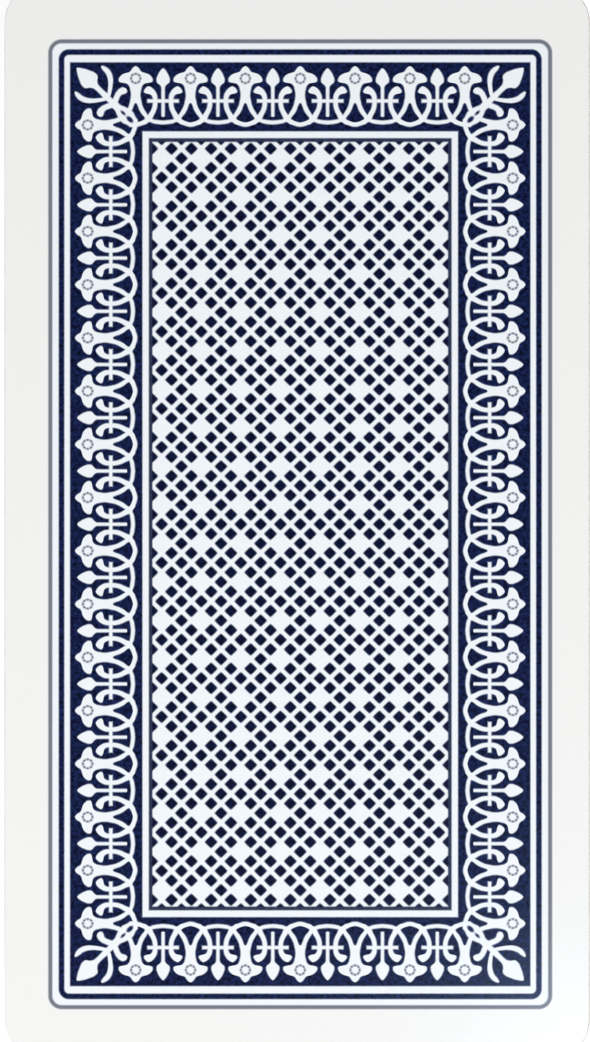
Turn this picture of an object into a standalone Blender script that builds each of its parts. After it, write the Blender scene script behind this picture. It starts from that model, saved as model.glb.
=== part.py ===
"""A deck of 78 tarot cards, squared up and lying face down on a table.

Every card is a thin plate with round corners. The upper cards are separate pieces, and the lowest ones,
which stay together in the hand when the deck is fanned out, are one packet. Units are metres and +Z is up.
The origin is on the table, under the middle of the deck, and +Y runs along the cards.
"""

import math

import bmesh
import bpy

# One card
CARD_WIDTH = 0.061
CARD_LENGTH = 0.112
CARD_THICKNESS = 0.00030
CORNER_RADIUS = 0.0040
CORNER_SEGMENTS = 6

# The stack
CARD_COUNT = 78
LOOSE_COUNT = 59
AIR_GAP = 0.00002
SQUARING_SLIP = 0.00010

# Where the cards are held when they move
FAN_INSET = 0.012
TURN_CLEARANCE = 0.004

# Follows from the sizes above
CARD_PITCH = CARD_THICKNESS + AIR_GAP
PACKET_COUNT = CARD_COUNT - LOOSE_COUNT
PACKET_THICKNESS = PACKET_COUNT * CARD_PITCH - AIR_GAP
DECK_HEIGHT = CARD_COUNT * CARD_PITCH - AIR_GAP
FAN_AXIS_Y = FAN_INSET - CARD_LENGTH / 2
TURN_AXIS_X = CARD_WIDTH / 2 + TURN_CLEARANCE
GOLDEN_ANGLE = math.pi * (3 - math.sqrt(5))


def clear_scene():
    """Remove whatever the file already holds."""
    for thing in list(bpy.data.objects):
        bpy.data.objects.remove(thing, do_unlink=True)


def make_material(name, color, roughness):
    """A plain, non-metallic finish."""
    material = bpy.data.materials.new(name)
    material.use_nodes = True
    shader = material.node_tree.nodes["Principled BSDF"]
    shader.inputs["Base Color"].default_value = (*color, 1.0)
    shader.inputs["Roughness"].default_value = roughness
    shader.inputs["Metallic"].default_value = 0.0
    return material


def make_plate(name, thickness, material):
    """A flat plate of the card's outline, standing on its own z = 0, with its origin on the fan axis."""
    shape = bmesh.new()
    bmesh.ops.create_cube(shape, size=1.0)
    bmesh.ops.scale(shape, vec=(CARD_WIDTH, CARD_LENGTH, thickness), verts=shape.verts)
    bmesh.ops.translate(shape, vec=(0.0, -FAN_AXIS_Y, thickness / 2), verts=shape.verts)
    uprights = [edge for edge in shape.edges if edge.verts[0].co.xy == edge.verts[1].co.xy]
    bmesh.ops.bevel(shape, geom=uprights, offset=CORNER_RADIUS, segments=CORNER_SEGMENTS,
                    profile=0.5, affect="EDGES")
    mesh = bpy.data.meshes.new(name)
    shape.to_mesh(mesh)
    shape.free()
    mesh.materials.append(material)
    return mesh


def make_axis(name, place, collection):
    """An empty on a line that cards turn about."""
    axis = bpy.data.objects.new(name, None)
    axis.location = place
    axis.empty_display_size = FAN_INSET
    collection.objects.link(axis)
    return axis


def place_piece(name, mesh, place, axis, collection):
    """A piece with its plate's origin at a place in the deck, carried by an axis."""
    piece = bpy.data.objects.new(name, mesh)
    piece.parent = axis
    piece.location = [world - own for world, own in zip(place, axis.location)]
    collection.objects.link(piece)


def squared_place(number):
    """Where a card's fan axis point lies. Cards count down from 1 at the top of the deck, and a hand squares
    them only so well: each card sits a slip away from true, a golden angle on from the card above it."""
    turn = number * GOLDEN_ANGLE
    return (SQUARING_SLIP * math.cos(turn),
            FAN_AXIS_Y + SQUARING_SLIP * math.sin(turn),
            (CARD_COUNT - number) * CARD_PITCH)


clear_scene()
deck = bpy.data.collections.new("tarot_deck")
bpy.context.scene.collection.children.link(deck)

printed_back = make_material("printed_back", (0.36, 0.39, 0.50), 0.40)
card_stock = make_material("card_stock", (0.86, 0.85, 0.83), 0.55)
packet_edge = make_material("packet_edge", (0.80, 0.79, 0.77), 0.65)

fan_axis = make_axis("fan_axis", (0.0, FAN_AXIS_Y, 0.0), deck)
turn_axis = make_axis("turn_axis", (TURN_AXIS_X, 0.0, DECK_HEIGHT / 2), deck)

# The packet that stays in the hand
packet_plate = make_plate("packet_plate", PACKET_THICKNESS, packet_edge)
place_piece("stock_packet", packet_plate, (0.0, FAN_AXIS_Y, 0.0), fan_axis, deck)

# The cards that fan, from the packet up
card_plate = make_plate("card_plate", CARD_THICKNESS, card_stock)
for number in range(LOOSE_COUNT, 2, -1):
    place_piece(f"card_{number:02d}", card_plate, squared_place(number), fan_axis, deck)

# The card that is dealt, and the card that is turned over
place_piece("second_card", card_plate, squared_place(2), fan_axis, deck)
top_plate = make_plate("top_plate", CARD_THICKNESS, printed_back)
place_piece("top_card", top_plate, squared_place(1), turn_axis, deck)
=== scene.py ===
# A squared deck of 78 tarot cards, lying face down with its printed back up.
# Metres, +Z up out of the back, +Y along the cards.

import functools

import bpy
import numpy as np
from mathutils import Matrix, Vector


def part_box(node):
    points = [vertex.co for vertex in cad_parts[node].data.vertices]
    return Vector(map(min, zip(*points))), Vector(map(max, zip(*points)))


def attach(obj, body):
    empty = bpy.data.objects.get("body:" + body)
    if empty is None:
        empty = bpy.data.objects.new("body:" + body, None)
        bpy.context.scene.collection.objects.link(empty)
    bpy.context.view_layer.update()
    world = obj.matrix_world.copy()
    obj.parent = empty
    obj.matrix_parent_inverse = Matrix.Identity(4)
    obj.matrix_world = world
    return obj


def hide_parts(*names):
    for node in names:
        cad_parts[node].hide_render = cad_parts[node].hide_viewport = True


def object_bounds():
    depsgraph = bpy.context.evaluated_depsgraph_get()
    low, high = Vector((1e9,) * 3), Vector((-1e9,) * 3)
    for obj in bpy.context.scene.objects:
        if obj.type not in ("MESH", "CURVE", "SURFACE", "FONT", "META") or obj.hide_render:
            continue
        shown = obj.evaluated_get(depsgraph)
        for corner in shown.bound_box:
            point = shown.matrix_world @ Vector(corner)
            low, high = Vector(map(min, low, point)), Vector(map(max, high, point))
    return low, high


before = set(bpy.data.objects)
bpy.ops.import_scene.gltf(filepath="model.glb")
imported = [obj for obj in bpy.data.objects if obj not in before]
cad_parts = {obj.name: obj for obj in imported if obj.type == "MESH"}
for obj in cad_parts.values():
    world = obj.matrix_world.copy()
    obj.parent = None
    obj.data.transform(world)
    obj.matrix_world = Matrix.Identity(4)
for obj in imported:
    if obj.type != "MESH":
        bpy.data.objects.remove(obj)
cad_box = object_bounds()


# The lowest nineteen cards
# Sheets of white card, coated, printed on both sides and punched out by a die with round corners. They stay
# in the hand when the deck is fanned, so one piece holds them all, each a little out of true.

CARD_COUNT = 78
LOOSE_COUNT = 59
CARD_THICKNESS = 0.00030
AIR_GAP = 0.00002                           # between a card and the next
CARD_PITCH = CARD_THICKNESS + AIR_GAP
SQUARING_SLIP = 0.00010                     # how far from true a hand leaves a card
GOLDEN_ANGLE = np.pi * (3 - np.sqrt(5))     # from one card's slip to the next one's

CORNER_RADIUS = 0.0040
CORNER_POINTS = 9
PRINT_CENTRE = np.array([0.00026, -0.00027])   # the die cuts a little off the middle of the print

# Steps over the cut edge, from back to face: how far in from the outline and how far below the back, in
# millimetres. The die rolls the back's rim over and leaves the face's rim nearly square.
DIE_EDGE = np.array([(0.080, 0.000), (0.034, 0.007), (0.010, 0.030), (0.000, 0.075),
                     (0.000, 0.255), (0.008, 0.284), (0.030, 0.300)]) / 1000
MAP_SIZE = 0.0625                           # metres of card across the bake map
MAP_MARGIN = 0.002
EDGE_ROWS = (0.910, 0.996)                  # the cut edges' share of the map's height
EDGE_ROW_USED = (0.05, 0.95)                # of one card's row, so that no row runs into the next
FACE_SHIFT = (0.5, 0)                       # the face has the map's right half


def linear(hex_colour):
    """An sRGB hex colour as linear red, green, blue and alpha: the sRGB curve's power part, with its
    straight part near black."""
    srgb = np.array([int(hex_colour[i:i + 2], 16) for i in (1, 3, 5)]) / 255
    return (*np.where(srgb <= 0.04045, srgb / 12.92, ((srgb + 0.055) / 1.055) ** 2.4).tolist(), 1.0)


def put(tree, kind, *feeds, out=0, points=None, **settings):
    """Adds one node with its settings and gives back one of its outputs. Feeds go to its inputs in order: a
    socket is linked, a value is set and None is passed over. Points are a curve's, from left to right."""
    node = tree.nodes.new("ShaderNode" + kind)
    for name, value in settings.items():
        setattr(node, name, value)
    for socket, feed in zip([s for s in node.inputs if s.enabled], feeds):
        if isinstance(feed, bpy.types.NodeSocket):
            tree.links.new(feed, socket)
        elif feed is not None:
            socket.default_value = feed
    if points is not None:
        node.mapping.use_clip = False
        node.mapping.extend = "HORIZONTAL"
        curve = node.mapping.curves[0]
        for end, point in zip(curve.points, (points[0], points[-1])):
            end.location = point
        for point in points[1:-1]:
            curve.points.new(*point)
        for point in curve.points:
            point.handle_type = "AUTO_CLAMPED"
        node.mapping.update()
    return [s for s in node.outputs if s.enabled][out]


# The back's print: two frame lines, a border of lilies and buds on a navy field, and a trellis panel, in one
# navy ink under a clear coat with a soft sheen. Unprinted card inside the lines is cooler than the margin.
# It is drawn in grid steps out from the print's middle, and all four quarters are alike.
GRID = 0.00010427                           # metres in a grid step
INK_SPREAD = 1.00                           # half the width of an inked edge
INK_CREEP = 0.22                            # how far ink creeps over the edge of the border's whites
THIN_INK, THICK_INK, PANEL_LINE_INK = 0.58, 1.00, 0.86
THIN_LINE = (249.9, 482.9, 11.5, 1.95, THIN_INK)    # half width, half length, corner radius, half thickness
THICK_LINE = (238.7, 472.15, 7.5, 2.70, THICK_INK)
FIELD = (230.1, 461.85)                     # half width and half length of the navy field
STRIP = (72.0, 70.0)                        # the border's depth at the sides and at the ends
STRIP_FROM = (230.15, 462.9)                # where the border's drawing starts, just outside the field
BAND_OUTER, BAND_INNER = (157.9, 393.0), (151.35, 386.05)   # the white band round the panel
PANEL = (147.9, 382.4)                      # inside the panel's own line
TRELLIS = (9.90, 9.63)                      # half a diamond's repeat, across and along
DIAMOND, DIAMOND_ROUND = 0.676, 0.45        # its half diagonal and the rounding of its tips, in half repeats
STAR_STEP = 2.0                             # half repeats from a white star's middle to halfway to the next
END_REPEAT, SIDE_REPEAT = 27.42, 26.62      # from a lily to the next bud
END_LILIES, SIDE_LILIES = 6, 15             # how many of those from the middle to the last lily
DEEP = 70.0                                 # the strip's depth that the outlines below are drawn for

# Outlines as (depth below the field's edge, half width); a negative half width means that there is nothing.
LILY = [(4.5, -1), (4.9, 0.8), (6.5, 3.2), (10.4, 6.2), (12.4, 12.1), (14.4, 15.2), (18.4, 17.4),
        (20.4, 16.8), (22.2, 9.4), (24.4, 7.1), (28.4, 5.8), (34, 5.1), (40.4, 6.1), (44.4, 7.1),
        (52.4, 11.5), (58.6, 15.6), (61.4, 12.4), (63.4, 9.0), (63.6, -1), (70, -1)]
CORNER_LILY_FOOT = 52.0                     # where the lily beside a corner ends
LILY_EYE = [(41.2, -6), (41.8, 0.2), (44.4, 1.7), (48.4, 3.2), (52.4, 5.5), (56.4, 8.6), (57.4, 8.8),
            (58.5, 7.6), (61.2, 0.2), (61.8, -6), (70, -6)]
BUD = [(6.5, -1), (7.0, 0.7), (10.4, 3.8), (14.4, 5.9), (18.4, 7.0), (20.4, 6.9), (24.4, 3.0), (26.4, 2.1),
       (55.2, 2.0), (55.8, -1), (70, -1)]
SCROLL_INNER = [(24.7, 30), (24.9, 14.4), (26.4, 10.9), (30.4, 7.3), (34.4, 5.6), (40.4, 5.2), (44.4, 5.5),
                (48.4, 6.4), (54.4, 9.2), (60.6, 12.6), (60.9, 30), (70, 30)]
SCROLL_OUTER = [(24.7, -1), (24.9, 15.0), (28.4, 19.0), (30.4, 19.6), (31.6, 18.6), (33.3, 12.8),
                (36.4, 10.9), (41, 10.7), (44.4, 10.9), (48.4, 12.2), (56, 16.6), (58.5, 17.0),
                (60.6, 14.6), (60.9, -1), (70, -1)]
BAR_DEPTH, BAR_HALF, BAR_REACH = 39.6, 2.1, 16.2     # the bar across a bud's stalk
ARC = [(0, 63.5), (3, 63.1), (10.9, 60.0), (13.7, 58.6), (17.4, 59.9), (22, 60.7), (27.4, 61.2)]
ARC_HALF = 2.3                              # the arcs are (steps from the lily, depth) along their middle
RING_DEPTH, RING_RADIUS, RING_HALF = 17.1, 4.6, 0.95   # the ring on a lily, with half its thickness
RING_INK, RING_BEADS, BEAD_INK = 0.51, 8, 0.20         # its beads have more ink by this, and its gaps less
FAR_OFF = 9.0                               # further than any outline reaches

# The corner's pieces, as (steps in from the corner along its diagonal, half width across it)
SPRIG = [(8.8, -1), (9.2, 0.3), (14, 4.2), (20, 7.3), (26, 9.3), (28, 9.3), (30, 8.4), (32, 5.7), (36, 3.2),
         (42, 2.9), (50, 3.5), (54, 3.1), (62, 4.3), (64, 4.0), (70, 5.9), (75, 7.7), (78, 7.8), (84, 6.1),
         (93.2, 3.4), (93.6, -1), (99, -1)]
LEAF_LINE = [(24.4, 18.2), (31, 18.6), (34, 18.3), (40, 15.4), (46, 9.3), (52, 0.6)]
LEAF_HALF = [(24.4, -1), (24.8, 0.6), (28, 2.3), (34, 3.0), (46, 3.6), (52, 3.6), (52.6, -1), (99, -1)]
CURL_LINE = [(0, 60.5), (6.9, 57.4), (10.8, 56.2), (13.1, 56.4), (15, 57.1), (20, 57.9)]
CURL_HALF = [(0, 3.6), (10.8, 3.2), (15, 4.0), (17, 3.9), (19.1, 1.2), (19.5, -1), (25, -1)]
CURL_REACH = 25.0                           # the curl is (steps off the diagonal, steps along it)
SPRIG_HOLES = ((73.0, 2.2, 1.0), (82.2, 3.4, 1.9))   # steps along, half length, half width
CORNER_BLOCK = 0.943                        # the share of the strip's depth that the corner's pieces keep to

PAPER_WHITE, PRINT_WHITE = linear("#ededec"), linear("#ebf0f4")
NAVY, NAVY_THIN, LINE_GREY = linear("#03061d"), linear("#1d2c60"), linear("#171b2d")

OBJECT_PLACE = 3                            # the output of Texture Coordinate that gives Object coordinates
back_card = bpy.data.materials.new("coated_card_navy_print")
back_card.use_nodes = True
back_tree = back_card.node_tree
on_back = functools.partial(put, back_tree)

place = on_back("TexCoord", out=OBJECT_PLACE)
drawn = on_back("Mapping", place, (*(-PRINT_CENTRE / GRID).tolist(), 0), None, (1 / GRID, 1 / GRID, 0))
quarter = on_back("VectorMath", drawn, operation="ABSOLUTE")
across = on_back("SeparateXYZ", quarter)
along = across.node.outputs[1]

# How deep a point lies in the border, from the nearer edge, and how far it is from the nearest lily, both as
# shares of the strip's depth
from_side = on_back("Math", across, -1 / STRIP[0], STRIP_FROM[0] / STRIP[0], operation="MULTIPLY_ADD")
from_end = on_back("Math", along, -1 / STRIP[1], STRIP_FROM[1] / STRIP[1], operation="MULTIPLY_ADD")
at_side = on_back("Math", from_side, from_end, operation="LESS_THAN")
depth = on_back("Math", from_side, from_end, operation="MINIMUM")
half_repeat = END_REPEAT / DEEP
end_step = on_back("Math", across, 1 / DEEP, operation="MULTIPLY")
side_step = on_back("Math", along, half_repeat / SIDE_REPEAT, -half_repeat, operation="MULTIPLY_ADD")
step = on_back("Mix", at_side, end_step, side_step)
last_lily = on_back("Mix", at_side, END_LILIES * half_repeat, (SIDE_LILIES - 1) * half_repeat)
past_last = on_back("Math", step, last_lily, operation="SUBTRACT")
in_corner = on_back("Math", past_last, 0.0, operation="GREATER_THAN")
past_last = on_back("Math", past_last, 0.0, operation="MAXIMUM")
step = on_back("Math", step, last_lily, operation="MINIMUM")
step = on_back("Math", step, half_repeat, operation="PINGPONG")
from_lily = on_back("Math", step, past_last, operation="ADD")
right_of_bud = on_back("Math", half_repeat, from_lily, operation="SUBTRACT")
from_bud = on_back("Math", right_of_bud, operation="ABSOLUTE")

# The strip's pieces: each is positive where the card is left white, and holes take away
lily, lily_eye, bud, scroll_inner, scroll_outer = (
    on_back("FloatCurve", 1.0, depth, points=[(d / DEEP, w / DEEP) for d, w in outline])
    for outline in (LILY, LILY_EYE, BUD, SCROLL_INNER, SCROLL_OUTER))
lily = on_back("Math", lily, from_lily, operation="SUBTRACT")
lily_eye = on_back("Math", from_lily, lily_eye, operation="SUBTRACT")
lily = on_back("Math", lily, lily_eye, operation="MINIMUM")
foot = on_back("Math", in_corner, -FAR_OFF, FAR_OFF + CORNER_LILY_FOOT / DEEP, operation="MULTIPLY_ADD")
foot = on_back("Math", foot, depth, operation="SUBTRACT")
lily = on_back("Math", lily, foot, operation="MINIMUM")
bud = on_back("Math", bud, from_bud, operation="SUBTRACT")
scroll_inner = on_back("Math", right_of_bud, scroll_inner, operation="SUBTRACT")
scroll_outer = on_back("Math", scroll_outer, right_of_bud, operation="SUBTRACT")
scroll = on_back("Math", scroll_inner, scroll_outer, operation="MINIMUM")
bar = on_back("Math", depth, BAR_DEPTH / DEEP, operation="SUBTRACT")
bar = on_back("Math", bar, operation="ABSOLUTE")
bar = on_back("Math", BAR_HALF / DEEP, bar, operation="SUBTRACT")
bar_end = on_back("Math", BAR_REACH / DEEP, from_bud, operation="SUBTRACT")
bar = on_back("Math", bar, bar_end, operation="MINIMUM")
arc = on_back("Math", from_lily, 1 / half_repeat, operation="MULTIPLY")
arc = on_back("FloatCurve", 1.0, arc, points=[(s / END_REPEAT, d / DEEP) for s, d in ARC])
arc = on_back("Math", depth, arc, operation="SUBTRACT")
arc = on_back("Math", arc, operation="ABSOLUTE")
arc = on_back("Math", ARC_HALF / DEEP, arc, operation="SUBTRACT")
between = functools.reduce(lambda a, b: on_back("Math", a, b, operation="MAXIMUM"), (bud, scroll, bar, arc))
between = on_back("Math", in_corner, -FAR_OFF, between, operation="MULTIPLY_ADD")
strip_white = on_back("Math", lily, between, operation="MAXIMUM")
strip_white = on_back("Math", strip_white, DEEP, operation="MULTIPLY")

# The corner's pieces, along and across its diagonal: half the sum of the two depths and half their difference
DIAGONAL = DEEP * np.sqrt(2)
inwards = on_back("Math", from_side, from_end, operation="ADD")
inwards = on_back("Math", inwards, 0.5, operation="MULTIPLY")
off_line = on_back("Math", from_side, from_end, operation="SUBTRACT")
off_line = on_back("Math", off_line, operation="ABSOLUTE")
off_line = on_back("Math", off_line, 0.5, operation="MULTIPLY")
sprig, leaf_line, leaf = (
    on_back("FloatCurve", 1.0, inwards, points=[(q / DIAGONAL, w / DIAGONAL) for q, w in outline])
    for outline in (SPRIG, LEAF_LINE, LEAF_HALF))
sprig = on_back("Math", sprig, off_line, operation="SUBTRACT")
leaf_line = on_back("Math", off_line, leaf_line, operation="SUBTRACT")
leaf_line = on_back("Math", leaf_line, operation="ABSOLUTE")
leaf = on_back("Math", leaf, leaf_line, operation="SUBTRACT")
curl_step = on_back("Math", off_line, DIAGONAL / CURL_REACH, operation="MULTIPLY")
curl_line, curl = (
    on_back("FloatCurve", 1.0, curl_step, points=[(e / CURL_REACH, q / DIAGONAL) for e, q in outline])
    for outline in (CURL_LINE, CURL_HALF))
curl_line = on_back("Math", inwards, curl_line, operation="SUBTRACT")
curl_line = on_back("Math", curl_line, operation="ABSOLUTE")
curl = on_back("Math", curl, curl_line, operation="SUBTRACT")
corner_place = on_back("CombineXYZ", inwards, off_line)
corner_white = functools.reduce(lambda a, b: on_back("Math", a, b, operation="MAXIMUM"),
                                (sprig, leaf, curl))
for hole_along, half_length, half_width in SPRIG_HOLES:
    hole = on_back("VectorMath", corner_place, (hole_along / DIAGONAL, 0, 0), operation="SUBTRACT")
    hole = on_back("VectorMath", hole, (half_width / half_length, 1, 0), operation="MULTIPLY")
    hole = on_back("VectorMath", hole, operation="LENGTH")
    hole = on_back("Math", hole, half_width / DIAGONAL, operation="SUBTRACT")
    corner_white = on_back("Math", corner_white, hole, operation="MINIMUM")
corner_block = on_back("Math", from_side, from_end, operation="MAXIMUM")
corner_block = on_back("Math", CORNER_BLOCK, corner_block, operation="SUBTRACT")
corner_white = on_back("Math", corner_white, corner_block, operation="MINIMUM")
corner_white = on_back("Math", corner_white, DIAGONAL, operation="MULTIPLY")
ornament = on_back("Math", strip_white, corner_white, operation="MAXIMUM")
field_ink = on_back("MapRange", ornament, INK_CREEP - INK_SPREAD, INK_CREEP + INK_SPREAD, 1.0, 0.0,
                    interpolation_type="SMOOTHSTEP")

# The grey ring on each lily, with eight darker beads
ring_depth = on_back("Math", depth, RING_DEPTH / DEEP, operation="SUBTRACT")
ring_place = on_back("CombineXYZ", from_lily, ring_depth)
ring = on_back("VectorMath", ring_place, operation="LENGTH")
ring = on_back("Math", ring, DEEP, -RING_RADIUS, operation="MULTIPLY_ADD")
ring = on_back("Math", ring, operation="ABSOLUTE")
ring = on_back("Math", RING_HALF, ring, operation="SUBTRACT")
ring_turn = on_back("Math", ring_depth, from_lily, operation="ARCTAN2")
ring_turn = on_back("Math", ring_turn, RING_BEADS, operation="MULTIPLY")
bead = on_back("Math", ring_turn, operation="COSINE")
bead = on_back("Math", bead, BEAD_INK, RING_INK, operation="MULTIPLY_ADD")
ring = on_back("MapRange", ring, -INK_SPREAD, INK_SPREAD, 0.0, bead, interpolation_type="SMOOTHSTEP")
field_ink = on_back("Math", field_ink, ring, operation="MAXIMUM")

# The trellis: a diamond where both diagonal steps are small, left out in the middle of each white star
trellis = on_back("VectorMath", quarter, (1 / TRELLIS[0], 1 / TRELLIS[1], 0), operation="MULTIPLY")
trellis_x = on_back("SeparateXYZ", trellis)
trellis_y = trellis_x.node.outputs[1]
rising = on_back("Math", trellis_x, trellis_y, operation="ADD")
rising = on_back("Math", rising, 1.0, operation="PINGPONG")
falling = on_back("Math", trellis_x, trellis_y, operation="SUBTRACT")
falling = on_back("Math", falling, 1.0, operation="PINGPONG")
diamond = on_back("Math", rising, falling, DIAMOND_ROUND, operation="SMOOTH_MAX")
diamond = on_back("Math", DIAMOND, diamond, operation="SUBTRACT")
star_x = on_back("Math", trellis_x, STAR_STEP, operation="PINGPONG")
star_y = on_back("Math", trellis_y, STAR_STEP, operation="PINGPONG")
star = on_back("Math", star_x, star_y, operation="ADD")
star = on_back("Math", 2 * STAR_STEP - 1, star, operation="SUBTRACT")
diamond = on_back("Math", diamond, star, operation="MINIMUM")
diamond = on_back("Math", diamond, TRELLIS[0] / np.sqrt(2), operation="MULTIPLY")
open_white = on_back("MapRange", diamond, -INK_SPREAD, INK_SPREAD, 1.0, 0.0,
                     interpolation_type="SMOOTHSTEP")

# Which of the nested blocks a point is in, and how far it is outside the middle of each frame line
blocks = []
for half_width, half_length in (FIELD, BAND_OUTER, BAND_INNER, PANEL):
    inside = on_back("VectorMath", (half_width, half_length, 0), quarter, operation="SUBTRACT")
    inside = on_back("SeparateXYZ", inside)
    inside = on_back("Math", inside, inside.node.outputs[1], operation="MINIMUM")
    blocks.append(on_back("MapRange", inside, -INK_SPREAD, INK_SPREAD, interpolation_type="SMOOTHSTEP"))
in_field, in_band, in_frame, in_panel = blocks
outside_lines, inked_lines = [], []
for half_width, half_length, radius, half_thickness, line_ink in (THIN_LINE, THICK_LINE):
    corner = (half_width - radius, half_length - radius, 0)
    outside = on_back("VectorMath", quarter, corner, operation="SUBTRACT")
    outside = on_back("VectorMath", outside, (0, 0, 0), operation="MAXIMUM")
    outside = on_back("VectorMath", outside, operation="LENGTH")
    outside = on_back("Math", outside, radius, operation="SUBTRACT")
    line = on_back("Math", outside, operation="ABSOLUTE")
    line = on_back("Math", half_thickness, line, operation="SUBTRACT")
    line = on_back("MapRange", line, -INK_SPREAD, INK_SPREAD, 0.0, line_ink, interpolation_type="SMOOTHSTEP")
    outside_lines.append(outside)
    inked_lines.append(line)
thin, thick = inked_lines
in_print = on_back("MapRange", outside_lines[0], INK_SPREAD, -INK_SPREAD, interpolation_type="SMOOTHSTEP")

border = on_back("Math", in_field, in_band, operation="SUBTRACT")
ink = on_back("Math", thin, thick, operation="ADD")
ink = on_back("Math", border, field_ink, ink, operation="MULTIPLY_ADD")
panel_ink = on_back("MapRange", in_panel, 0.0, 1.0, PANEL_LINE_INK, 1.0)
ink = on_back("Math", in_frame, panel_ink, ink, operation="MULTIPLY_ADD")
open_white = on_back("Math", open_white, in_panel, operation="MULTIPLY")
ink = on_back("Math", ink, open_white, operation="SUBTRACT", use_clamp=True)

# Card fibres about 0.6 mm long show through the coat. The ink is mottled in patches of 0.4 mm, and thinner on
# the broad field than on the small diamonds; the thin line and the rings are a grey tint. Where ink thins out
# at an edge the card shows through as blue, so the two are mixed by the roots that the eye sees evenly.
EYE_ROOT = 2.2
FIBRE_SIZE, MOTTLE_SIZE = 0.0006, 0.0004
NOISE_LAYERS, NOISE_FADE = 3.0, 0.6         # finer and finer noise, and how strong each is beside the last
FIBRE_RANGE, MOTTLE_RANGE = (0.3, 0.7), (0.35, 0.75)   # the part of the noise that is used
BACK_FIBRE_TONE = 0.985                     # how far fibres darken the card
PANEL_MOTTLE = 0.42                         # how strong the mottling is on the panel
BACK_ROUGHNESS = (0.13, 0.17)
FELT_STRENGTH, FELT_HEIGHT = 0.04, 0.00002
fibres = on_back("TexNoise", quarter, GRID / FIBRE_SIZE, NOISE_LAYERS, NOISE_FADE)
unprinted = on_back("Mix", in_print, PAPER_WHITE, PRINT_WHITE, data_type="RGBA")
tone = on_back("MapRange", fibres, *FIBRE_RANGE, BACK_FIBRE_TONE, 1.0)
unprinted = on_back("VectorMath", unprinted, tone, operation="MULTIPLY")
uneven = on_back("TexNoise", quarter, GRID / MOTTLE_SIZE, NOISE_LAYERS, NOISE_FADE)
uneven = on_back("MapRange", uneven, *MOTTLE_RANGE)
thinner = on_back("MapRange", in_frame, 0.0, 1.0, 1.0, PANEL_MOTTLE)
uneven = on_back("Math", uneven, thinner, operation="MULTIPLY")
navy = on_back("Mix", uneven, NAVY, NAVY_THIN, data_type="RGBA")
tint = on_back("Math", thin, ring, operation="MAXIMUM")
tint = on_back("MapRange", tint, 0.0, THIN_INK)
navy = on_back("Mix", tint, navy, LINE_GREY, data_type="RGBA")
unprinted, navy = (on_back("Gamma", shade, 1 / EYE_ROOT) for shade in (unprinted, navy))
printed = on_back("Mix", ink, unprinted, navy, data_type="RGBA")
printed = on_back("Gamma", printed, EYE_ROOT)
gloss = on_back("MapRange", fibres, *FIBRE_RANGE, *BACK_ROUGHNESS)
felt = on_back("Bump", FELT_STRENGTH, FELT_HEIGHT, 1.0, fibres)
back_shader = back_tree.nodes["Principled BSDF"]
back_tree.links.new(printed, back_shader.inputs["Base Color"])
back_tree.links.new(gloss, back_shader.inputs["Roughness"])
back_tree.links.new(felt, back_shader.inputs["Normal"])

# The face's print, a plain eight of coins under a duller coat: ochre coins with a red rosette, inside a navy
# frame line. It is drawn in millimetres, and all four quarters are alike.
FACE_WHITE = linear("#eeece4")
OCHRE, ROSE, LINE_NAVY = linear("#c8983a"), linear("#9c2f2a"), linear("#1a2450")
MILLIMETRE = 0.001
COIN_ACROSS, COIN_ALONG = 13.2, (24.8, 12.4)   # two rows of coins, 12.4 either side of 24.8
COIN_RADIUS, COIN_LINE = 9.2, 0.5
ROSETTE_RADIUS, ROSETTE_LINE = 5.6, 0.4     # the white round behind the rosette, and the line round that
PETALS, PETAL_OUT, PETAL_SWING = 6, 3.9, 0.95
BEADS, BEAD_RING, BEAD_RADIUS = 24, 7.2, 0.62
DOT_RADIUS = 1.25
FACE_FRAME, FACE_LINE = (26.6, 51.9), 0.45  # half width and half length, and the line's thickness
EDGE_SOFT = 0.05
FACE_FIBRE_TONE = 0.975
FACE_ROUGHNESS = (0.20, 0.26)

face_card = bpy.data.materials.new("coated_card_coin_print")
face_card.use_nodes = True
face_tree = face_card.node_tree
on_face = functools.partial(put, face_tree)
place = on_face("TexCoord", out=OBJECT_PLACE)
drawn = on_face("Mapping", place, (*(-PRINT_CENTRE / MILLIMETRE).tolist(), 0), None,
                (1 / MILLIMETRE, 1 / MILLIMETRE, 0))
quarter = on_face("VectorMath", drawn, operation="ABSOLUTE")
across = on_face("SeparateXYZ", quarter)
along = across.node.outputs[1]
coin_x = on_face("Math", across, COIN_ACROSS, operation="SUBTRACT")
coin_y = on_face("Math", along, COIN_ALONG[0], operation="SUBTRACT")
coin_y = on_face("Math", coin_y, operation="ABSOLUTE")
coin_y = on_face("Math", coin_y, COIN_ALONG[1], operation="SUBTRACT")
coin_place = on_face("CombineXYZ", coin_x, coin_y)
out_from = on_face("VectorMath", coin_place, operation="LENGTH")
turn = on_face("Math", coin_y, coin_x, operation="ARCTAN2")
petals = on_face("Math", turn, PETALS, operation="MULTIPLY")
petals = on_face("Math", petals, operation="COSINE")
petals = on_face("Math", petals, PETAL_SWING, PETAL_OUT, operation="MULTIPLY_ADD")
petals = on_face("Math", petals, out_from, operation="SUBTRACT")
beads = on_face("Math", turn, BEADS / (2 * np.pi), operation="MULTIPLY")
beads = on_face("Math", beads, 0.5, operation="PINGPONG")
beads = on_face("Math", beads, 2 * np.pi * BEAD_RING / BEADS, operation="MULTIPLY")
bead_out = on_face("Math", out_from, BEAD_RING, operation="SUBTRACT")
beads = on_face("CombineXYZ", beads, bead_out)
beads = on_face("VectorMath", beads, operation="LENGTH")
beads = on_face("Math", BEAD_RADIUS, beads, operation="SUBTRACT")
colour = FACE_WHITE
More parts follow.
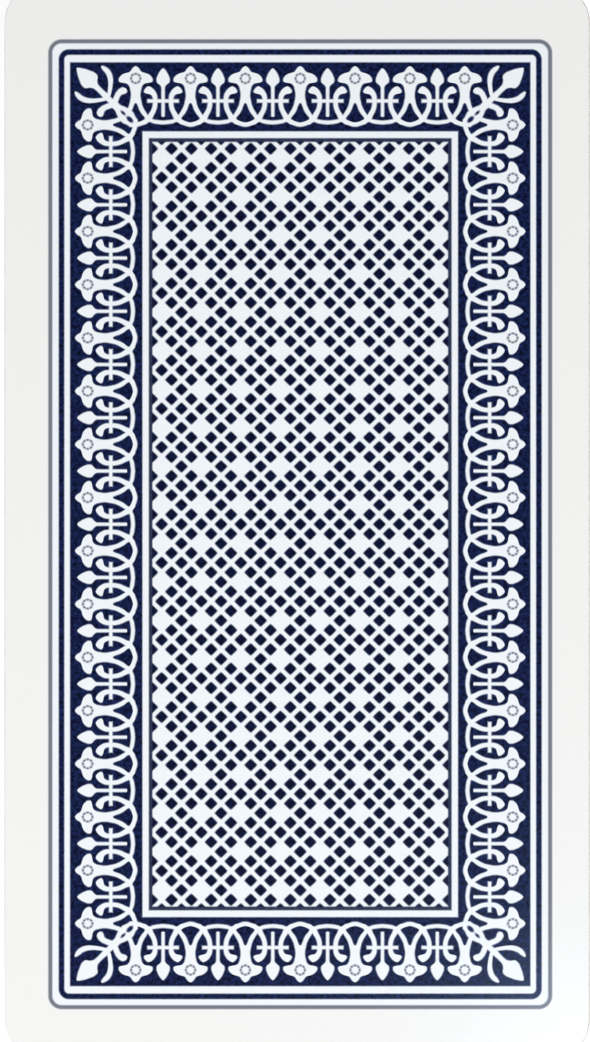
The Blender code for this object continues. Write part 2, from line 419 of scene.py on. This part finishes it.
for radius, shade in ((COIN_RADIUS, LINE_NAVY), (COIN_RADIUS - COIN_LINE, OCHRE),
                      (ROSETTE_RADIUS + ROSETTE_LINE, LINE_NAVY), (ROSETTE_RADIUS, FACE_WHITE)):
    disc = on_face("Math", radius, out_from, operation="SUBTRACT")
    disc = on_face("MapRange", disc, -EDGE_SOFT, EDGE_SOFT, interpolation_type="SMOOTHSTEP")
    colour = on_face("Mix", disc, colour, shade, data_type="RGBA")
for shape, shade in ((beads, LINE_NAVY), (petals, ROSE)):
    shape = on_face("MapRange", shape, -EDGE_SOFT, EDGE_SOFT, interpolation_type="SMOOTHSTEP")
    colour = on_face("Mix", shape, colour, shade, data_type="RGBA")
centre_dot = on_face("MapRange", out_from, DOT_RADIUS - EDGE_SOFT, DOT_RADIUS + EDGE_SOFT, 1.0, 0.0)
colour = on_face("Mix", centre_dot, colour, OCHRE, data_type="RGBA")
frame_line = on_face("VectorMath", (*FACE_FRAME, 0), quarter, operation="SUBTRACT")
frame_line = on_face("SeparateXYZ", frame_line)
frame_line = on_face("Math", frame_line, frame_line.node.outputs[1], operation="MINIMUM")
frame_line = on_face("Math", frame_line, operation="ABSOLUTE")
frame_line = on_face("MapRange", frame_line, FACE_LINE / 2 + EDGE_SOFT, FACE_LINE / 2 - EDGE_SOFT)
colour = on_face("Mix", frame_line, colour, LINE_NAVY, data_type="RGBA")
fibres = on_face("TexNoise", quarter, MILLIMETRE / FIBRE_SIZE, NOISE_LAYERS, NOISE_FADE)
tone = on_face("MapRange", fibres, *FIBRE_RANGE, FACE_FIBRE_TONE, 1.0)
colour = on_face("VectorMath", colour, tone, operation="MULTIPLY")
gloss = on_face("MapRange", fibres, *FIBRE_RANGE, *FACE_ROUGHNESS)
felt = on_face("Bump", FELT_STRENGTH, FELT_HEIGHT, 1.0, fibres)
face_shader = face_tree.nodes["Principled BSDF"]
face_tree.links.new(colour, face_shader.inputs["Base Color"])
face_tree.links.new(gloss, face_shader.inputs["Roughness"])
face_tree.links.new(felt, face_shader.inputs["Normal"])

# The cut edge: bare white card, rough, with fibres about 0.05 mm thick and 0.8 mm long that lie along the
# sheet, and each card a little lighter or darker than the next.
EDGE_PALE, EDGE_GREY = linear("#f0eeea"), linear("#d2cfc9")
STRAND_LENGTH, STRAND_THICKNESS = 0.0008, 0.00005
SHEET_SWING = 0.45                          # how much cards differ, beside the strands
SHADE_RANGE = (0.35, 1.05)                  # from pale to grey
STRAND_STRENGTH, STRAND_HEIGHT = 0.25, 0.00002
EDGE_ROUGHNESS = 0.75
edge_card = bpy.data.materials.new("cut_card_edge")
edge_card.use_nodes = True
edge_tree = edge_card.node_tree
on_edge = functools.partial(put, edge_tree)
place = on_edge("TexCoord", out=OBJECT_PLACE)
strands = on_edge("Mapping", place, (*(-PRINT_CENTRE / STRAND_LENGTH).tolist(), 0), None,
                  (1 / STRAND_LENGTH, 1 / STRAND_LENGTH, 1 / STRAND_THICKNESS))
strands = on_edge("VectorMath", strands, operation="ABSOLUTE")
strands = on_edge("TexNoise", strands, 1.0, NOISE_LAYERS, NOISE_FADE)
sheet_number = on_edge("SeparateXYZ", place).node.outputs[2]
sheet_number = on_edge("Math", sheet_number, 1 / CARD_PITCH, 0.5, operation="MULTIPLY_ADD")
sheet_number = on_edge("Math", sheet_number, operation="FLOOR")
sheet_tone = on_edge("TexWhiteNoise", sheet_number, noise_dimensions="1D")
shade = on_edge("Math", sheet_tone, SHEET_SWING, strands, operation="MULTIPLY_ADD")
shade = on_edge("MapRange", shade, *SHADE_RANGE)
edge_colour = on_edge("Mix", shade, EDGE_PALE, EDGE_GREY, data_type="RGBA")
edge_bump = on_edge("Bump", STRAND_STRENGTH, STRAND_HEIGHT, 1.0, strands)
edge_shader = edge_tree.nodes["Principled BSDF"]
edge_tree.links.new(edge_colour, edge_shader.inputs["Base Color"])
edge_tree.links.new(edge_bump, edge_shader.inputs["Normal"])
edge_shader.inputs["Roughness"].default_value = EDGE_ROUGHNESS


def cut_cards(name, boxes):
    """Cards as one mesh, each filling a box. The outline is four quarter circles joined by straight sides,
    with a point on each side where the print's centre line meets it. The die's edge is carried round it: a
    step lies at the outline less its inset along the outline's normal, and at the back's height less its
    drop. Fans about the print's centre close the first and last steps. The bake map folds a card about the
    print's centre lines, as the four quarters are alike: the back in its left half, the face in its right,
    and the cut edges in rows above."""
    back, face, edge = range(3)
    inset, drop = DIE_EDGE.T

    # Round the outline: the middle of a side, then the corner after it. Rounding makes a side's normal exact.
    sides = np.arange(4)[:, None] * np.pi / 2
    turns = np.concatenate([sides, sides + np.linspace(0, np.pi / 2, CORNER_POINTS)], axis=1)
    normals = np.round(np.stack([np.cos(turns), np.sin(turns)], axis=-1), 12)
    quadrants = np.array([(1, 1), (-1, 1), (-1, -1), (1, -1)])[:, None]

    # One card's faces: a fan on the back, a fan on the face, and four-sided faces down the cut edge
    steps, points = len(DIE_EDGE), turns.size
    here = np.arange(points)
    after = np.roll(here, -1)
    last = (steps - 1) * points
    upper, lower = steps * points, steps * points + 1
    back_fan = np.stack([np.full(points, upper), here, after], axis=1)
    face_fan = np.stack([np.full(points, lower), last + after, last + here], axis=1)
    row = np.arange(steps - 1)[:, None] * points
    wall = np.stack([row + here, row + points + here, row + points + after, row + after], axis=-1)
    wall = wall.reshape(-1, 4)

    # Each card's points, and where they lie on the bake map
    vertices, triangles, quads, triangle_map, quad_map = [], [], [], [], []
    for number, (low, high) in enumerate(boxes):
        middle, half = (high + low)[:2] / 2, (high - low)[:2] / 2
        outline = middle + quadrants * (half - CORNER_RADIUS) + CORNER_RADIUS * normals
        outline[:, 0] = np.where(np.abs(normals[:, 0]) > 0, middle + half * normals[:, 0], PRINT_CENTRE)
        rings = outline.reshape(-1, 2) - inset[:, None, None] * normals.reshape(-1, 2)
        heights = np.broadcast_to((high[2] - drop)[:, None, None], (steps, points, 1))
        card = np.concatenate([rings, heights], axis=-1).reshape(-1, 3)
        card = np.concatenate([card, [(*PRINT_CENTRE, high[2])], [(*PRINT_CENTRE, low[2])]])
        fold = np.abs(card[:, :2] - PRINT_CENTRE)
        on_map = fold / MAP_SIZE + MAP_MARGIN
        height = (EDGE_ROWS[1] - EDGE_ROWS[0]) / len(boxes)
        share = np.repeat(np.linspace(*EDGE_ROW_USED, steps), points)
        edge_map = np.stack([(fold[:last + points, 1] + half[0] - fold[:last + points, 0]) / half.sum(),
                             EDGE_ROWS[0] + height * (number + share)], axis=1)
        edge_map[:, 0] = np.clip(edge_map[:, 0], 0, 1) * (1 - 2 * MAP_MARGIN) + MAP_MARGIN
        base = number * len(card)
        vertices.append(card)
        triangles.append(base + np.concatenate([back_fan, face_fan]))
        quads.append(base + wall)
        triangle_map.append(np.concatenate([on_map[back_fan], on_map[face_fan] + FACE_SHIFT]))
        quad_map.append(edge_map[wall])
    triangles, quads = np.concatenate(triangles), np.concatenate(quads)

    mesh = bpy.data.meshes.new(name)
    mesh.from_pydata(np.concatenate(vertices).tolist(), [], triangles.tolist() + quads.tolist())
    surfaces = np.tile(np.repeat([back, face], points), len(boxes))
    surfaces = np.concatenate([surfaces, np.full(len(quads), edge)])
    mesh.polygons.foreach_set("material_index", surfaces.astype(np.int32))
    mesh.polygons.foreach_set("use_smooth", surfaces == edge)
    bake_map = mesh.uv_layers.new(name="OFBake")
    uv = np.concatenate([np.concatenate(part).reshape(-1, 2) for part in (triangle_map, quad_map)])
    bake_map.data.foreach_set("uv", uv.astype(np.float32).ravel())
    for material in (back_card, face_card, edge_card):
        mesh.materials.append(material)
    mesh.validate()
    card_piece = bpy.data.objects.new(name, mesh)
    bpy.context.scene.collection.objects.link(card_piece)
    return card_piece


packet_low, packet_high = (np.array(corner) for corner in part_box("stock_packet"))
packet_boxes = []
for card_number in range(CARD_COUNT, LOOSE_COUNT, -1):
    slip = card_number * GOLDEN_ANGLE
    slip = SQUARING_SLIP * np.array([np.cos(slip), np.sin(slip), 0])
    low, high = packet_low + slip, packet_high + slip
    low[2] = packet_low[2] + (CARD_COUNT - card_number) * CARD_PITCH
    high[2] = low[2] + CARD_THICKNESS
    packet_boxes.append((low, high))
packet = cut_cards("stock_packet_sheets", packet_boxes)
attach(packet, "stock_packet")
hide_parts("stock_packet")


# The cards that fan
# The same printed card, one sheet for each. They lie loose on each other, held by nothing but the hand. They
# are cut a thousandth of a millimetre short at each end: the export bakes its longest pieces finest, and the
# top card is to be the longest.
CUT_SHORT = np.array([0, 0.000001, 0])
for node in [f"card_{number:02d}" for number in range(LOOSE_COUNT, 2, -1)] + ["second_card"]:
    low, high = (np.array(corner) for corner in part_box(node))
    card = cut_cards(node + "_sheet", [(low + CUT_SHORT, high - CUT_SHORT)])
    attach(card, node)
    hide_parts(node)


# The top card
# The card whose back is seen. It lies on the deck and turns over like a page, to lie face up beside it.
top_low, top_high = (np.array(corner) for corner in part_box("top_card"))
top_sheet = cut_cards("top_card_sheet", [(top_low, top_high)])
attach(top_sheet, "top_card")
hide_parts("top_card")


# The floor
# A plain sweep of matt white paper under the deck. Where it is seen it glows, a little by the deck and more
# further off, where the lamps reach less, so that it is white all over and keeps the deck's shadow.
FLOOR_HALF, FLOOR_DROP = 4.0, 0.00005
FLOOR_PALE, FLOOR_ROUGHNESS, FLOOR_SHINE = linear("#c4c4c4"), 0.9, 0.1
FLOOR_GLOW = (0.68, 1.0)                    # by the deck and far off
LAMPS_REACH = (0.15, 1.2)                   # metres from the middle, from all their light to nearly none
floor_mesh = bpy.data.meshes.new("floor")
corners = np.array([(-1, -1), (1, -1), (1, 1), (-1, 1)]) * FLOOR_HALF
floor_mesh.from_pydata([(x, y, -FLOOR_DROP) for x, y in corners.tolist()], [], [(0, 1, 2, 3)])
floor_paint = bpy.data.materials.new("matt_white_sweep")
floor_paint.use_nodes = True
floor_tree = floor_paint.node_tree
floor_shader = floor_tree.nodes["Principled BSDF"]
floor_shader.inputs["Base Color"].default_value = FLOOR_PALE
floor_shader.inputs["Roughness"].default_value = FLOOR_ROUGHNESS
floor_shader.inputs["Specular IOR Level"].default_value = FLOOR_SHINE
ray = put(floor_tree, "LightPath")
seen = put(floor_tree, "Math", ray, ray.node.outputs["Is Glossy Ray"], operation="MAXIMUM")
seen = put(floor_tree, "Math", seen, ray.node.outputs["Is Transmission Ray"], operation="MAXIMUM")
far_out = put(floor_tree, "TexCoord", out=OBJECT_PLACE)
far_out = put(floor_tree, "VectorMath", far_out, operation="LENGTH")
glow = put(floor_tree, "MapRange", far_out, *LAMPS_REACH, *FLOOR_GLOW)
glow = put(floor_tree, "Math", seen, glow, operation="MULTIPLY")
floor_shader.inputs["Emission Color"].default_value = (1, 1, 1, 1)
floor_tree.links.new(glow, floor_shader.inputs["Emission Strength"])
floor_mesh.materials.append(floor_paint)
floor = bpy.data.objects.new("floor", floor_mesh)
bpy.context.scene.collection.objects.link(floor)


# The light
# A large soft lamp in front and to the right, a weaker one to the left, and a small blue one nearly overhead
# that glints in the coat of the near right corner. The room is white at the horizon and dark above.
TOP = cad_box[1][2]                         # the height of the top card's back
GLINT_BLUE = linear("#b8daff")
ROOM_HORIZON, ROOM_OVERHEAD = 0.50, 0.03
ROOM_BLEND = (0.15, 0.85)                   # from the first to the second, by height as a share of overhead
for name, spot, size, power in (("key_lamp", (0.25, -0.60, 0.95), 0.6, 11.85),
                                ("fill_lamp", (-0.80, -0.15, 0.85), 0.7, 4.8),
                                ("glint_lamp", (0.105, -0.190, 0.825), 0.06, 0.18)):
    lamp = bpy.data.lights.new(name, "AREA")
    lamp.size, lamp.energy = size, power
    lamp_object = bpy.data.objects.new(name, lamp)
    lamp_object.location = spot
    # It is tilted from straight down and turned about the upright, to face the top card's middle.
    aim = np.array([0, 0, TOP]) - spot
    yaw, pitch = np.arctan2(aim[0], -aim[1]), np.arctan2(np.hypot(*aim[:2]), -aim[2])
    lamp_object.rotation_euler = (pitch, 0, yaw + np.pi)
    bpy.context.scene.collection.objects.link(lamp_object)
# The last one is the glint, which shows in the gloss alone.
lamp.color = GLINT_BLUE[:3]
lamp_object.visible_diffuse = False

room = bpy.data.worlds.new("studio_room")
bpy.context.scene.world = room
room.use_nodes = True
room_tree = room.node_tree
upward = put(room_tree, "TexCoord")
upward = put(room_tree, "SeparateXYZ", upward).node.outputs[2]
level = put(room_tree, "MapRange", upward, *ROOM_BLEND, ROOM_HORIZON, ROOM_OVERHEAD,
            interpolation_type="SMOOTHSTEP")
seen = put(room_tree, "LightPath")
level = put(room_tree, "Mix", seen, level, 1.0)
room_tree.links.new(level, room_tree.nodes["Background"].inputs["Strength"])
room_tree.nodes["Background"].inputs["Color"].default_value = (1, 1, 1, 1)


# The camera
# It looks straight down at the top card and takes in its width; the card's two ends are just outside.
CAMERA_ABOVE = 0.40
FRAME_LONG_SIDE = 1042 * GRID               # the picture is 1042 pixels high, a grid step to a pixel
OFF_CENTRE = np.array([-0.00021, 0.0])      # the view's middle from the card's middle
SENSOR = 36.0
camera_data = bpy.data.cameras.new("camera")
camera_data.sensor_width = SENSOR
camera_data.lens = SENSOR * CAMERA_ABOVE / FRAME_LONG_SIDE
camera_data.clip_start, camera_data.clip_end = 0.01, 20.0
camera = bpy.data.objects.new("camera", camera_data)
camera.location = (*((top_low + top_high)[:2] / 2 + OFF_CENTRE).tolist(), TOP + CAMERA_ABOVE)
bpy.context.scene.collection.objects.link(camera)
bpy.context.scene.camera = camera
bpy.context.scene.view_settings.view_transform = "Standard"
